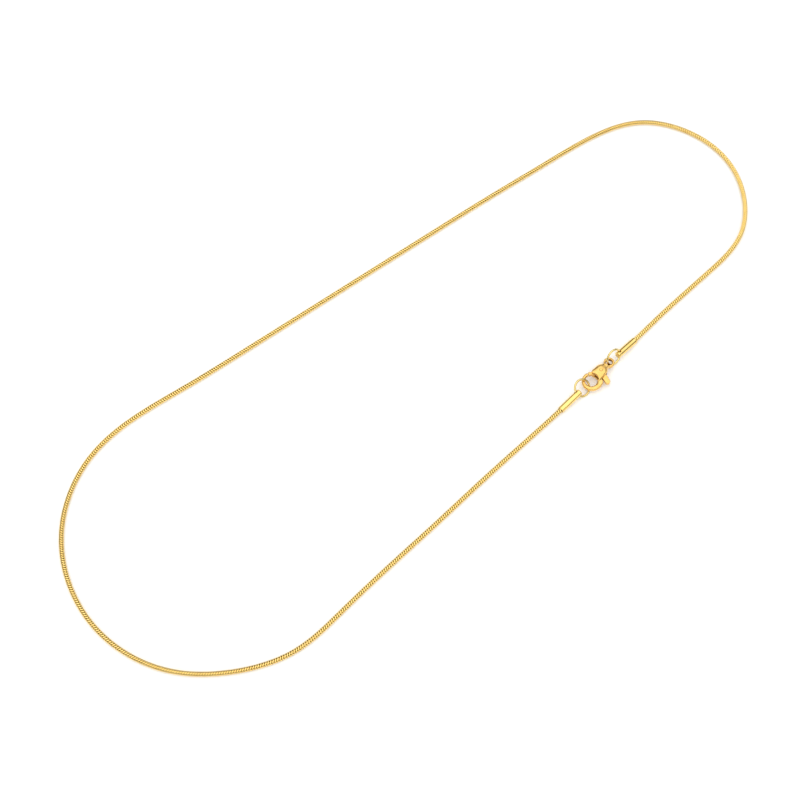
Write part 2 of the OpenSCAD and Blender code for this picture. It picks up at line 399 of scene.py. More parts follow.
@dataclass(frozen=True)
class GoldPlate:
    """Bright yellow gold plating.

    Attributes:
        name: Name of the material.
        tone: Colour of the metal where it is clean.
        deep: Colour where the plating is a little redder.
        gloss: Roughness of the polish.
        grain: Length of the polish's fine marks.
        relief: Depth of those marks.
        bite: Share of the relief that shows.
        shine: Shares of the roughness at the brightest and the dullest marks.
        mottle: Length of the slow changes of colour.
        patches: Levels of those changes where the redder colour ends and the clean one begins.
        depth: Whether the uv's second value tells how deep a place lies, which paints shade into it.
        painted_shade: Colour of the painted shade in the deepest places.
        painted_shade_span: Depths at which the painted shade begins and is full.
    """

    name: str
    tone: tuple[float, float, float] = (0.92, 0.67, 0.235)
    deep: tuple[float, float, float] = (0.88, 0.61, 0.19)
    gloss: float = 0.16
    grain: float = 0.08 * MM
    relief: float = 0.0015 * MM
    bite: float = 0.6
    shine: Pair = (0.7, 1.4)
    mottle: float = 1.1 * MM
    patches: Pair = (0.3, 0.6)
    depth: bool = False
    painted_shade: tuple[float, float, float] = (0.4, 0.28, 0.15)
    painted_shade_span: Pair = (0.4, 0.9)

    def make(self) -> bpy.types.Material:
        """Builds the node tree.

        Returns:
            The material.
        """
        material = bpy.data.materials.new(self.name)
        material.use_nodes = True
        tree = material.node_tree
        shader = tree.nodes["Principled BSDF"]
        shader.inputs["Metallic"].default_value = 1.0
        shader.inputs["IOR"].default_value = 1.47
        place = tree.nodes.new("ShaderNodeTexCoord")
        slow = tree.nodes.new("ShaderNodeTexNoise")
        slow.inputs["Scale"].default_value = 1 / self.mottle
        slow.inputs["Detail"].default_value = 3.0
        tones = tree.nodes.new("ShaderNodeValToRGB")
        tones.color_ramp.elements[0].position = self.patches[0]
        tones.color_ramp.elements[0].color = (*self.deep, 1.0)
        tones.color_ramp.elements[1].position = self.patches[1]
        tones.color_ramp.elements[1].color = (*self.tone, 1.0)
        marks = tree.nodes.new("ShaderNodeTexNoise")
        marks.inputs["Scale"].default_value = 1 / self.grain
        marks.inputs["Detail"].default_value = 4.0
        shine = tree.nodes.new("ShaderNodeMapRange")
        shine.inputs["To Min"].default_value = self.gloss * self.shine[0]
        shine.inputs["To Max"].default_value = self.gloss * self.shine[1]
        bump = tree.nodes.new("ShaderNodeBump")
        bump.inputs["Strength"].default_value = self.bite
        bump.inputs["Distance"].default_value = self.relief
        link = tree.links.new
        link(place.outputs["Object"], slow.inputs["Vector"])
        link(place.outputs["Object"], marks.inputs["Vector"])
        link(slow.outputs["Fac"], tones.inputs["Fac"])
        link(self._with_painted_shade(tree, tones.outputs["Color"]), shader.inputs["Base Color"])
        link(marks.outputs["Fac"], shine.inputs["Value"])
        link(shine.outputs["Result"], shader.inputs["Roughness"])
        link(marks.outputs["Fac"], bump.inputs["Height"])
        link(bump.outputs["Normal"], shader.inputs["Normal"])
        return material

    def _with_painted_shade(self, tree: bpy.types.NodeTree, colour: bpy.types.NodeSocket) -> bpy.types.NodeSocket:
        """Paints shade into a colour where the uv's second value is high, in the deep places.

        Args:
            tree: The material's node tree.
            colour: The clean colour.

        Returns:
            The socket of the colour with painted shade, or the clean one where the finish has no depth.
        """
        if not self.depth:
            return colour
        place = tree.nodes.new("ShaderNodeUVMap")
        place.uv_map = "wrap"
        split = tree.nodes.new("ShaderNodeSeparateXYZ")
        # ramp from no shade to the painted shade of the deepest places
        painted_shade = tree.nodes.new("ShaderNodeValToRGB")
        painted_shade.color_ramp.elements[0].position = self.painted_shade_span[0]
        painted_shade.color_ramp.elements[0].color = (1.0, 1.0, 1.0, 1.0)
        painted_shade.color_ramp.elements[1].position = self.painted_shade_span[1]
        painted_shade.color_ramp.elements[1].color = (*self.painted_shade, 1.0)
        mix = tree.nodes.new("ShaderNodeMix")
        mix.data_type = "RGBA"
        mix.blend_type = "MULTIPLY"
        mix.inputs["Factor"].default_value = 1.0
        tree.links.new(place.outputs["UV"], split.inputs["Vector"])
        tree.links.new(split.outputs["Y"], painted_shade.inputs["Fac"])
        tree.links.new(colour, mix.inputs["A"])
        tree.links.new(painted_shade.outputs["Color"], mix.inputs["B"])
        return mix.outputs["Result"]


POLISHED = GoldPlate("gold_polished")
# The links' grooves get painted shade by their depth.
LINKED = GoldPlate("gold_links", tone=(0.99, 0.74, 0.27), deep=(0.96, 0.68, 0.22), gloss=0.17, depth=True)
DRAWN = GoldPlate("gold_wire", tone=(0.82, 0.65, 0.27), deep=(0.74, 0.57, 0.21), gloss=0.12)
RIVETED = GoldPlate("gold_rivet", tone=(0.86, 0.56, 0.18), deep=(0.8, 0.49, 0.14), gloss=0.2)
# The walls of the clasp's slot and of its eye's hole get painted shade.
CAST = replace(RIVETED, name="gold_cast", gloss=0.22, grain=0.4 * MM, relief=0.03 * MM, depth=True)


@dataclass(frozen=True)
class Paper:
    """Matt white of the floor.

    Attributes:
        name: Name of the material.
        white: Share of light that it gives back.
        glow: Light that comes up through it.
        warmth: Colour of that light.
        tooth: Roughness of its surface.
    """

    name: str = "floor_white"
    white: float = 0.94
    glow: float = 0.08
    warmth: tuple[float, float, float] = (1.0, 0.99, 0.97)
    tooth: float = 0.9

    def make(self) -> bpy.types.Material:
        """Builds the node tree.

        Returns:
            The material.
        """
        material = bpy.data.materials.new(self.name)
        material.use_nodes = True
        shader = material.node_tree.nodes["Principled BSDF"]
        shader.inputs["Base Color"].default_value = (self.white, self.white, self.white, 1.0)
        shader.inputs["Roughness"].default_value = self.tooth
        shader.inputs["Specular IOR Level"].default_value = 0.0
        shader.inputs["Emission Color"].default_value = (*self.warmth, 1.0)
        shader.inputs["Emission Strength"].default_value = self.glow
        return material


# Rings, caps and the curve between them


@dataclass(frozen=True)
class Fit:
    """Sizes that the rings and caps share.

    Attributes:
        wire_r: Radius of the rings' wire.
        ring_r: Radius of a ring to the middle of its wire.
        chain_r: Radius of the chain.
        cap_r: Outer radius of a cap.
        bore_r: Radius of a cap's bore.
        hole_r: Radius of a cap's cross hole.
        cap_l: Length of a cap.
        bore_l: Depth of the bore.
        inset: From the cross hole's middle to the closed end.
        grip: Length of chain in the bore.
        lead: Spacing of the guide points where the chain enters a cap.
        rest: Gap between a piece and the surface it lies on.
        clasp_at: The rivet's middle.
        clasp_turn: Turn of the clasp about it.
    """

    wire_r: float = 0.25 * MM
    ring_r: float = 2.0 * MM
    chain_r: float = 0.6 * MM
    cap_r: float = 0.8 * MM
    bore_r: float = 0.7 * MM
    hole_r: float = 0.425 * MM
    cap_l: float = 6.6 * MM
    bore_l: float = 4.4 * MM
    inset: float = 0.85 * MM
    grip: float = 3.6 * MM
    lead: float = 3.5 * MM
    rest: float = 0.01 * MM
    clasp_at: tuple[float, float, float] = (31.7 * MM, -26.55 * MM, 1.4 * MM)
    clasp_turn: float = 0.75

    @property
    def hole_reach(self) -> float:
        """Distance of a cap's hole from the ring's middle."""
        return (self.ring_r + math.sqrt(self.ring_r ** 2 - self.cap_r ** 2)) / 2

    def on_clasp(self, p: Array) -> Array:
        """Carries points of the clasp's own frame to the necklace's.

        Args:
            p: Points from the rivet's middle.

        Returns:
            The points in place.
        """
        return np.array(self.clasp_at) + spun(p, self.clasp_turn)


@dataclass(frozen=True)
class RingPose:
    """How a jump ring lies, and where the cap on it points.

    Attributes:
        cross: Where the wire crosses the clasp's middle plane.
        lean: Lean of the ring from flat, in degrees.
        yaw: Turn about the vertical, in degrees.
        side: 1 where the clasp is on the ring's +x side, -1 where it is on the other.
        fit: The shared sizes.
    """

    cross: Pair
    lean: float
    yaw: float
    side: int
    fit: Fit = field(default_factory=Fit)

    @property
    def height(self) -> float:
        """Height of the ring's middle, with its lowest point on the surface."""
        return self.fit.wire_r + self.fit.rest + self.fit.ring_r * math.sin(math.radians(self.lean))

    @property
    def middle(self) -> Array:
        """Middle of the ring.

        Its wire crosses the clasp's middle plane at m + (side sqrt(R^2 - s^2), s cos lean, s sin lean),
        turned by the yaw, where s sin lean is the plane's height above the ring's middle.

        Returns:
            The point.
        """
        lean = math.radians(self.lean)
        dz = self.fit.clasp_at[2] - self.height
        s = dz / math.sin(lean)
        out = self.side * math.sqrt(self.fit.ring_r ** 2 - s * s)
        crossing = self.fit.on_clasp(np.array([*self.cross, 0.0]))
        return crossing - spun(np.array([out, s * math.cos(lean), dz]), self.yaw)

    @property
    def climb(self) -> float:
        """Sine of the cap's climb from the surface."""
        reach = self.fit.cap_l - self.fit.inset + self.fit.hole_reach
        return (self.height - self.fit.cap_r - self.fit.rest) / reach

    def _hole_dirs(self) -> tuple[Array, Array]:
        """Gives two directions at the cap's hole, where the ring is as low as the cap's climb asks.

        Returns:
            The direction from the ring's middle to the hole, and that of the wire in the hole.
        """
        lean = math.radians(self.lean)
        b = math.asin(self.climb / math.sin(lean))
        rise = np.array([0.0, math.cos(lean), math.sin(lean)])
        across = np.array([self.side, 0.0, 0.0])
        back = math.cos(b) * across + math.sin(b) * rise
        wire = math.cos(b) * rise - math.sin(b) * across
        return -spun(back, self.yaw), spun(wire, self.yaw)

    @property
    def wire_dir(self) -> Array:
        """Direction of the wire in the cap's hole."""
        return self._hole_dirs()[1]

    @property
    def hole(self) -> Array:
        """Middle of the cap's hole."""
        return self.middle + self.fit.hole_reach * self._hole_dirs()[0]

    def cap_dir(self, towards: Sequence[float]) -> Array:
        """Direction of the cap from its hole to its mouth.

        Args:
            towards: Guide point that the cap is aimed at.

        Returns:
            The unit direction.
        """
        flat = unit(np.array(towards) - self.hole[:2])
        run = math.sqrt(1 - self.climb ** 2)
        return np.array([flat[0] * run, flat[1] * run, -self.climb])

    def lead_in(self, towards: Sequence[float]) -> Array:
        """Guide points from inside the cap to the surface in front of it.

        Args:
            towards: Guide point that the cap is aimed at.

        Returns:
            Four points, the one deepest in the cap first.
        """
        fit, d = self.fit, self.cap_dir(towards)
        mouth = self.hole + (fit.cap_l - fit.inset) * d
        inner = [mouth - s * d for s in (fit.grip + fit.lead, fit.grip, fit.grip - fit.lead)]
        return np.array([*inner, [*(mouth + fit.lead * d)[:2], fit.chain_r]])


RING_A = RingPose(cross=(-4.18 * MM, -0.22 * MM), lean=40.0, yaw=7.0, side=1)
RING_B = RingPose(cross=(2.9 * MM, 0.3 * MM), lean=66.5, yaw=2.0, side=-1)


@dataclass(frozen=True)
class ChainCurve:
    """The chain's middle line: the uniform cubic B-spline of the guide points.

    Attributes:
        guide: The guide points, one row each.
    """

    guide: Array

    @classmethod
    def of_necklace(cls) -> "ChainCurve":
        """Makes the curve from cap to cap.

        Returns:
            The curve.
        """
        flat = np.array([[x, y, Fit.chain_r] for x, y in ROUTE])
        return cls(np.concatenate([RING_A.lead_in(ROUTE[0]), flat, RING_B.lead_in(ROUTE[-1])[::-1]]))

    def at(self, u: Array) -> tuple[Array, Array]:
        """Gives points and directions of the curve.

        In span k at t = u - k: ((1-t)^3 g0 + (3t^3-6t^2+4) g1 + (-3t^3+3t^2+3t+1) g2 + t^3 g3) / 6.

        Args:
            u: Places, from 0 to the number of spans.

        Returns:
            The points and the unit directions.
        """
        k = np.minimum(np.floor(u).astype(int), len(self.guide) - 4)
        t = (u - k)[:, None]
        g = [self.guide[k + m] for m in range(4)]
        point = ((1 - t) ** 3 * g[0] + (3 * t ** 3 - 6 * t ** 2 + 4) * g[1]
                 + (-3 * t ** 3 + 3 * t ** 2 + 3 * t + 1) * g[2] + t ** 3 * g[3]) / 6
        slope = (-(1 - t) ** 2 * g[0] + (3 * t ** 2 - 4 * t) * g[1]
                 + (-3 * t ** 2 + 2 * t + 1) * g[2] + t ** 2 * g[3])
        return point, unit(slope)

    def spaced(self, pitch: float) -> tuple[Array, Array, Array]:
        """Gives points at even distances along the curve.

        Args:
            pitch: Distance wanted between points; it is rounded to a whole number of them.

        Returns:
            The points, the unit directions, and each one's share of the whole length.
        """
        u = np.linspace(0.0, len(self.guide) - 3, CURVE_SAMPLES)
        fine = self.at(u)[0]
        run = np.concatenate([[0.0], np.cumsum(np.linalg.norm(np.diff(fine, axis=0), axis=1))])
        share = (np.arange(round(run[-1] / pitch)) + 0.5) / round(run[-1] / pitch)
        return (*self.at(np.interp(share * run[-1], run, u)), share)


# Pieces


@dataclass(frozen=True)
class SnakeChain:
    """The chain: nested wavy links, each a closed band that is domed outside.

    Attributes:
        pitch: Distance between links.
        wave: Swing of a link along the chain, from peak to trough.
        waves: Times that it swings on the way round.
        pinch: Share by which a link is narrower at its peaks and troughs.
        section: Outline of the band: places along the chain, radii, and shares of the pinch.
        around: Points round a link.
        roll: Turn of the links about the chain, in degrees, at shares of its length.
    """

    pitch: float = 0.567 * MM
    wave: float = 0.35 * MM
    waves: int = 3
    pinch: float = 0.28
    section: tuple[tuple[float, float, float], ...] = (
        (-0.28 * MM, 0.41 * MM, 0.0), (-0.25 * MM, 0.49 * MM, 1.0), (-0.16 * MM, 0.57 * MM, 1.0),
        (0.0, 0.60 * MM, 1.0), (0.16 * MM, 0.57 * MM, 1.0), (0.25 * MM, 0.49 * MM, 1.0),
        (0.28 * MM, 0.41 * MM, 0.0),
    )
    around: int = 12
    roll: tuple[Pair, ...] = (
        (0.0, 45.0), (0.33, 45.0), (0.40, 58.0), (0.47, 40.0), (0.52, 21.0), (0.77, 21.0), (0.82, 45.0),
        (1.0, 45.0),
    )

    def build(self, material: bpy.types.Material) -> bpy.types.Object:
        """Draws every link along the curve.

        A link's point at angle a and outline place k is
        c + (z_k (1 - pinch_k cos^2 na) + wave / 2 * cos na) t + r_k (cos(a + roll) left + sin(a + roll) up),
        with n waves. The uv's second value is the depth under the outside, as a share of a third of
        the radius, and it sets the painted shade in the grooves between links.

        Args:
            material: The plating.

        Returns:
            The object.
        """
        middle, ahead, share = ChainCurve.of_necklace().spaced(self.pitch)
        left = unit(np.stack([-ahead[:, 1], ahead[:, 0], np.zeros(len(ahead))], axis=-1))
        up = np.cross(ahead, left)
        place, radius, pinched = np.array(self.section).T
        a = np.linspace(0.0, 2 * math.pi, self.around, endpoint=False)
        swing = np.cos(self.waves * a)[:, None]
        turn = np.radians(np.interp(share, *np.array(self.roll).T))[:, None] + a
        out = np.cos(turn)[..., None] * left[:, None] + np.sin(turn)[..., None] * up[:, None]
        along = place * (1 - self.pinch * pinched * swing ** 2) + self.wave / 2 * swing
        points = (middle[:, None, None] + along[None, ..., None] * ahead[:, None, None]
                  + radius[None, None, :, None] * out[:, :, None])
        link = torus_quads(self.around, len(radius))
        size = self.around * len(radius)
        quads = (link[None] + size * np.arange(len(middle))[:, None, None]).reshape(-1, 4)
        # depth under the outside, which the plating turns into painted shade in the grooves
        depth = np.broadcast_to(3 * (1 - radius / radius.max()), points.shape[:3])
        uv = np.stack([np.broadcast_to(share[:, None, None], depth.shape), depth], axis=-1).reshape(-1, 2)
        obj = add_object("snake_links", points.reshape(-1, 3), quads, material, uv)
        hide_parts("snake_chain")
        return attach(obj, Body.NECKLACE.value)


@dataclass(frozen=True)
class EndCap:
    """A tube with one closed rounded end, drilled across for its ring.

    Attributes:
        node: Name of the solid that it stands for.
        pose: The ring that the cap hangs on.
        towards: Guide point that the cap is aimed at.
        edge: Rounding of the closed end.
        lip: Rounding of the mouth and of the hole.
        cell: Fineness of the mesh.
    """

    node: str
    pose: RingPose
    towards: Pair
    edge: float = 0.25 * MM
    lip: float = 0.05 * MM
    cell: float = 0.045 * MM

    @property
    def axes(self) -> Array:
        """The cap's own frame, its axis last."""
        return frame_of(self.pose.cap_dir(self.towards))

    def tube_field(self, p: Array) -> Array:
        """Distance from the cap: a rounded rod, less its bore and its cross hole.

        The hole runs along the wire w: sqrt(|p|^2 - (p . w)^2) - r.

        Args:
            p: Points from the hole's middle, in the cap's own frame.

        Returns:
            The distances.
        """
        fit = self.pose.fit
        mouth = fit.cap_l - fit.inset
        r = np.hypot(p[..., 0], p[..., 1])
        tube = plate(r - fit.cap_r, p[..., 2] - mouth + fit.cap_l / 2, fit.cap_l / 2, self.edge)
        bore = np.maximum(r - fit.bore_r, mouth - fit.bore_l - p[..., 2])
        along = p @ (self.axes @ self.pose.wire_dir)
        hole = np.sqrt(np.maximum((p ** 2).sum(-1) - along ** 2, 0.0)) - fit.hole_r
        return smooth_max(smooth_max(tube, -bore, self.lip), -hole, self.lip)

    def build(self, material: bpy.types.Material) -> bpy.types.Object:
        """Makes the cap along its own axis and puts it in place.

        Args:
            material: The plating.

        Returns:
            The object.
        """
        fit, pad = self.pose.fit, 2 * self.cell
        low = np.array([-fit.cap_r, -fit.cap_r, -fit.inset]) - pad
        high = np.array([fit.cap_r, fit.cap_r, fit.cap_l - fit.inset]) + pad
        points, quads = surface_net(self.tube_field, low, high, self.cell)
        obj = add_object(f"{self.node}_tube", points @ self.axes + self.pose.hole, quads, material)
        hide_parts(self.node)
        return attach(obj, Body.NECKLACE.value)


@dataclass(frozen=True)
class JumpRing:
    """A ring of round wire, butted at one place.

    Attributes:
        node: Name of the solid that it stands for.
        pose: How the ring lies.
        joint: Where its two ends meet, in degrees round the ring.
        groove: Depth of the groove at the joint, as a share of the wire's radius.
        groove_w: Half width of the groove.
        gather: How strongly the points gather near the joint.
        rows: Points round the ring.
        columns: Points round the wire.
    """

    node: str
    pose: RingPose
    joint: float
    groove: float = 0.16
    groove_w: float = 0.035 * MM
    gather: float = 0.55
    rows: int = 160
    columns: int = 28

    def build(self, material: bpy.types.Material) -> bpy.types.Object:
        """Draws the wire round the ring, with a fine groove at the joint.

        At angle a from the joint the wire's radius is r (1 - groove exp(-(R a / groove_w)^2)), and its
        points are m + (R + r cos b)(cos(a + joint) u + sin(a + joint) v) + r sin b w. The angles
        gather near the joint: a = e - gather sin e exp(-|e|) for even steps e.

        Args:
            material: The plating.

        Returns:
            The object.
        """
        fit = self.pose.fit
        even = np.linspace(-math.pi, math.pi, self.rows, endpoint=False)
        a = even - self.gather * np.sin(even) * np.exp(-np.abs(even))
        b = np.linspace(0.0, 2 * math.pi, self.columns, endpoint=False)
        r = fit.wire_r * (1 - self.groove * np.exp(-(fit.ring_r * a / self.groove_w) ** 2))
        turn = a + math.radians(self.joint)
        lean = math.radians(self.pose.lean)
        u = spun(np.array([1.0, 0.0, 0.0]), self.pose.yaw)
        v = spun(np.array([0.0, math.cos(lean), math.sin(lean)]), self.pose.yaw)
        w = np.cross(u, v)
        out = np.cos(turn)[:, None] * u + np.sin(turn)[:, None] * v
        reach = fit.ring_r + r[:, None] * np.cos(b)
        points = self.pose.middle + reach[..., None] * out[:, None] + (r[:, None] * np.sin(b))[..., None] * w
        quads = torus_quads(self.rows, self.columns)
        obj = add_object(f"{self.node}_wire", points.reshape(-1, 3), quads, material)
        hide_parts(self.node)
        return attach(obj, Body.NECKLACE.value)


@dataclass(frozen=True)
class Clasp:
    """The lobster clasp's cast body and its lever, in the plane of the clasp.

    Its places and sizes are in millimetres from the rivet: +x towards the eye, +y towards the gate.

    Attributes:
        body_half: Half thickness of the body at its ridge.
        dome_at: Middle of the body's round end.
        body_r: Radius of that end.
        crown_r: Radius of the crown along the clasp.
        cross_r: Radius of the crown across the clasp.
        ridge_x: Place of the crown's ridge.
        crown_blend: Fillet between the crown's two curves.
        crown_ease: Share that the crown's distances are eased to.
        crown_edge: Rounding between the crown and the sides.
        hook_at: Middle of the hook.
        hook_r: Radius of the hook's outer edge.
        hook_half: Half thickness of the hook.
        hook_edge: Rounding of the hook, outside and inside.
        claw_at: Middle of the claw's opening.
        claw_r: Radius of the opening.
        spine: Two places of the spine below the hook.
        spine_r: Radius of the spine's ends.
        spine_edge: Rounding of the spine.
        neck: Two places of the neck.
        neck_r: Radii of the neck's ends.
        neck_half: Half thickness of the neck.
        neck_edge: Rounding of the neck.
        eye_at: Middle of the eye.
        eye_r: Radius of the eye.
        eye_half: Half thickness of the eye.
        eye_edge: Rounding of the eye.
        eye_hole_r: Radius of the eye's hole.
        eye_bell: Rounding of the hole.
        spine_fillet: Fillet between spine and hook.
        hook_fillet: Fillet between the hook and the crowned middle.
        eye_fillet: Fillet between neck and eye.
        neck_fillet: Fillet between the neck and the middle.
        rim_lip: Rounding of the rims of the claw's opening and of the eye's hole.
        gap_lip: Rounding of the cheeks beside the gate and the tab.
        slot_lip: Rounding of the slot's edges and of the rivet's bores.
        gate: Angles of the opening beside the gate, and the reach of the cheeks there.
        swing: Angles of the room that the gate swings in.
        root: Angles of the room of the tab's root, and its radius.
        tab_room: Angles of the room of the tab, and the reach of the cheeks there.
        room_r: Radius of the gate's room.
        hub_room_r: Radius of the hub's room.
        slot_half: Half height of the slot.
        bore_r: Radius of the rivet's bore.
        lever_half: Half thickness of the lever.
        hub_r: Radius of the lever's hub.
        arm_r: Radius of its arms at the rivet.
        gate_root: Middle of the gate's root.
        gate_root_r: Radius of the root.
        gate_span: Angles of the gate's curved end.
        tip_r: The gate's reach.
        tab: Two places of the tab.
        tab_r: Radii at them.
        hub_fillet: Fillets between the hub, its arm and the tab.
        arm_fillet: Fillets inside the tab and between gate and hub.
        lever_edge: Rounding of the lever.
        lever_bore_r: Radius of the lever's bore.
        shade: Width of the dark edge round the slot and the eye's hole.
        cell: Fineness of the meshes.
    """

    body_half: float = 1.4
    dome_at: Pair = (0.25, 0.2)
    body_r: float = 1.55
    crown_r: float = 3.2
    cross_r: float = 2.2
    ridge_x: float = -0.6
    crown_blend: float = 0.5
    crown_ease: float = 0.85
    crown_edge: float = 0.45
    hook_at: Pair = (-3.3, -0.5)
    hook_r: float = 2.4
    hook_half: float = 0.52
    hook_edge: float = 0.4
    claw_at: Pair = (-3.4, -0.3)
    claw_r: float = 1.42
    spine: tuple[Pair, Pair] = ((-2.7, -2.1), (-1.4, -1.75))
    spine_r: float = 0.75
    spine_edge: float = 0.3
    neck: tuple[Pair, Pair] = ((0.9, 0.15), (1.8, 0.3))
    neck_r: Pair = (1.1, 0.65)
    neck_half: float = 0.95
    neck_edge: float = 0.35
    eye_at: Pair = (3.15, 0.5)
    eye_r: float = 1.3
    eye_half: float = 0.55
    eye_edge: float = 0.32
    eye_hole_r: float = 0.74
    eye_bell: float = 0.25
    spine_fillet: float = 0.2
    hook_fillet: float = 0.12
    eye_fillet: float = 0.4
    neck_fillet: float = 0.8
    rim_lip: float = 0.08
    gap_lip: float = 0.12
    slot_lip: float = 0.05
    gate: tuple[float, float, float] = (100.0, 186.0, 2.1)
    swing: Pair = (106.0, 210.0)
    root: tuple[float, float, float] = (220.0, 326.0, 2.0)
    tab_room: tuple[float, float, float] = (237.0, 314.0, 1.8)
    room_r: float = 3.16
    hub_room_r: float = 1.15
    slot_half: float = 0.48
    bore_r: float = 0.38
    lever_half: float = 0.42
    hub_r: float = 0.95
    arm_r: float = 0.6
    gate_root: Pair = (-1.8, 0.95)
    gate_root_r: float = 0.45
    gate_span: Pair = (106.0, 160.0)
    tip_r: float = 3.0
    tab: tuple[Pair, Pair] = ((-0.3, -1.8), (-0.55, -2.95))
    tab_r: Pair = (0.65, 0.6)
    hub_fillet: float = 0.15
    arm_fillet: float = 0.1
    lever_edge: float = 0.12
    lever_bore_r: float = 0.41
    # shade: Width of the painted shade round the slot and the eye's hole.
    shade: float = 0.15
    cell: float = 0.06

    def room_field(self, q: Array) -> Array:
        """Distance from the slot that the lever swings in.

        Args:
            q: Points from the rivet's middle, in millimetres.

        Returns:
            The distances.
        """
        pin = (0.0, 0.0)
        swing = np.maximum(disc(q, pin, self.room_r), sector(q, *self.swing))
        root = np.maximum(disc(q, pin, self.root[2]), sector(q, *self.root[:2]))
        room = np.minimum(np.minimum(disc(q, pin, self.hub_room_r), swing), root)
        room = np.minimum(room, sector(q, *self.tab_room[:2]))
        return np.maximum(room, np.abs(q[..., 2]) - self.slot_half)

    def hollow_shade(self, q: Array) -> Array:
        """Tells how far inside the slot or the eye a place of the body lies, as the share of painted shade
        there.

        Args:
            q: Points from the rivet's middle, in millimetres.

        Returns:
            Shares of painted shade: 1 on the walls of the slot and of the eye's hole, 0 where the shade
                ends.
        """
        gap = np.minimum(self.room_field(q), disc(q, self.eye_at, self.eye_hole_r))
        return np.clip(1 - gap / self.shade, 0.0, 1.0)

    def body_field(self, q: Array) -> Array:
        """Distance from the body: hook, crowned middle, neck and eye, less what the lever needs.

        Args:
            q: Points from the rivet's middle, in millimetres.

        Returns:
            The distances.
        """
        z, pin = q[..., 2], (0.0, 0.0)
        flat = taper(q, self.hook_at, self.hook_r, self.dome_at, self.body_r)
        ridge = np.abs(z) - self.body_half + bow(q[..., 0] - self.ridge_x, self.crown_r)
        sides = np.abs(z) - self.body_half + bow(q[..., 1], self.cross_r)
        crown = smooth_max(ridge, sides, self.crown_blend) * self.crown_ease
        crowned = smooth_max(flat, crown, self.crown_edge)
        hook = plate(disc(q, self.hook_at, self.hook_r), z, self.hook_half, self.hook_edge)
        spine = taper(q, self.spine[0], self.spine_r, self.spine[1], self.spine_r)
        spine = plate(spine, z, self.hook_half, self.spine_edge)
        neck = taper(q, self.neck[0], self.neck_r[0], self.neck[1], self.neck_r[1])
        neck = plate(neck, z, self.neck_half, self.neck_edge)
        eye = plate(disc(q, self.eye_at, self.eye_r), z, self.eye_half, self.eye_edge)
        metal = smooth_min(crowned, smooth_min(hook, spine, self.spine_fillet), self.hook_fillet)
        metal = smooth_min(metal, smooth_min(neck, eye, self.eye_fillet), self.neck_fillet)
        claw_rise = np.maximum(np.abs(z) - self.hook_half + self.hook_edge, 0.0)
        claw = disc(q, self.claw_at, self.claw_r) - bow(claw_rise, self.hook_edge)
        hole_rise = np.maximum(np.abs(z) - self.eye_half + self.eye_bell, 0.0)
        hole = disc(q, self.eye_at, self.eye_hole_r) - bow(hole_rise, self.eye_bell)
        metal = smooth_max(smooth_max(metal, -claw, self.rim_lip), -hole, self.rim_lip)
        gate = np.maximum(disc(q, pin, self.room_r), sector(q, *self.gate[:2]))
        gate = np.maximum(gate, -disc(q, pin, self.gate[2]))
        tab = np.maximum(sector(q, *self.tab_room[:2]), -disc(q, pin, self.tab_room[2]))
        metal = smooth_max(smooth_max(metal, -gate, self.gap_lip), -tab, self.gap_lip)
        metal = smooth_max(metal, -self.room_field(q), self.slot_lip)
        return smooth_max(metal, -disc(q, pin, self.bore_r), self.slot_lip)

    def lever_field(self, q: Array) -> Array:
        """Distance from the lever: hub, gate and thumb tab.

        Args:
            q: Points from the rivet's middle, in millimetres.

        Returns:
            The distances.
        """
        pin = (0.0, 0.0)
        arm = taper(q, pin, self.arm_r, self.gate_root, self.gate_root_r)
        hub = smooth_min(disc(q, pin, self.hub_r), arm, self.hub_fillet)
        tab = smooth_min(taper(q, pin, self.arm_r, self.tab[0], self.tab_r[0]),
                         taper(q, self.tab[0], self.tab_r[0], self.tab[1], self.tab_r[1]), self.arm_fillet)
        gate = np.maximum(disc(q, pin, self.tip_r), sector(q, *self.gate_span))
        gate = np.maximum(disc(q, self.hook_at, self.hook_r), gate)
        gate = np.maximum(gate, -disc(q, self.claw_at, self.claw_r))
        flat = smooth_min(smooth_min(hub, tab, self.hub_fillet), gate, self.arm_fillet)
        metal = plate(flat, q[..., 2], self.lever_half, self.lever_edge)
        return smooth_max(metal, -disc(q, pin, self.lever_bore_r), self.slot_lip)

    def _cast(self, name: str, shape: Field, box: tuple[Sequence[float], Sequence[float]], node: str,
              body: Body, material: bpy.types.Material) -> bpy.types.Object:
        """Makes one casting and puts it in place.

        The uv's second value is how far inside the slot or the eye's hole a place of the body lies, which
        sets its painted shade, and 0 on the lever.

        Args:
            name: Name of the object.
            shape: Its distance field.
            box: Lowest and highest corner of the box that it lies in.
            node: Name of the solid that it stands for.
            body: The body that it rides on.
            material: The plating.

        Returns:
            The object.
        """
        points, quads = surface_net(shape, np.array(box[0]), np.array(box[1]), self.cell)
        # second uv value: share of painted shade in the slot and the eye's hole, none on the lever
        uv = np.stack([points[:, 0] / self.hook_r, self.hollow_shade(points) * (body is Body.NECKLACE)], axis=-1)
        obj = add_object(name, Fit().on_clasp(points * MM), quads, material, uv)
        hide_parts(node)
        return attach(obj, body.value)

    def build(self, material: bpy.types.Material) -> list[bpy.types.Object]:
        """Makes the body and the lever.

        Args:
            material: The plating.

        Returns:
            The objects.
        """
        body_box = ((-5.82, -3.12, -1.61), (4.6, 2.2, 1.6))
        lever_box = ((-3.5, -3.75, -0.6), (1.3, 2.1, 0.6))
        return [
            self._cast("clasp_casting", self.body_field, body_box, "clasp_body", Body.NECKLACE, material),
            self._cast("lever_casting", self.lever_field, lever_box, "clasp_lever", Body.LEVER, material),
        ]


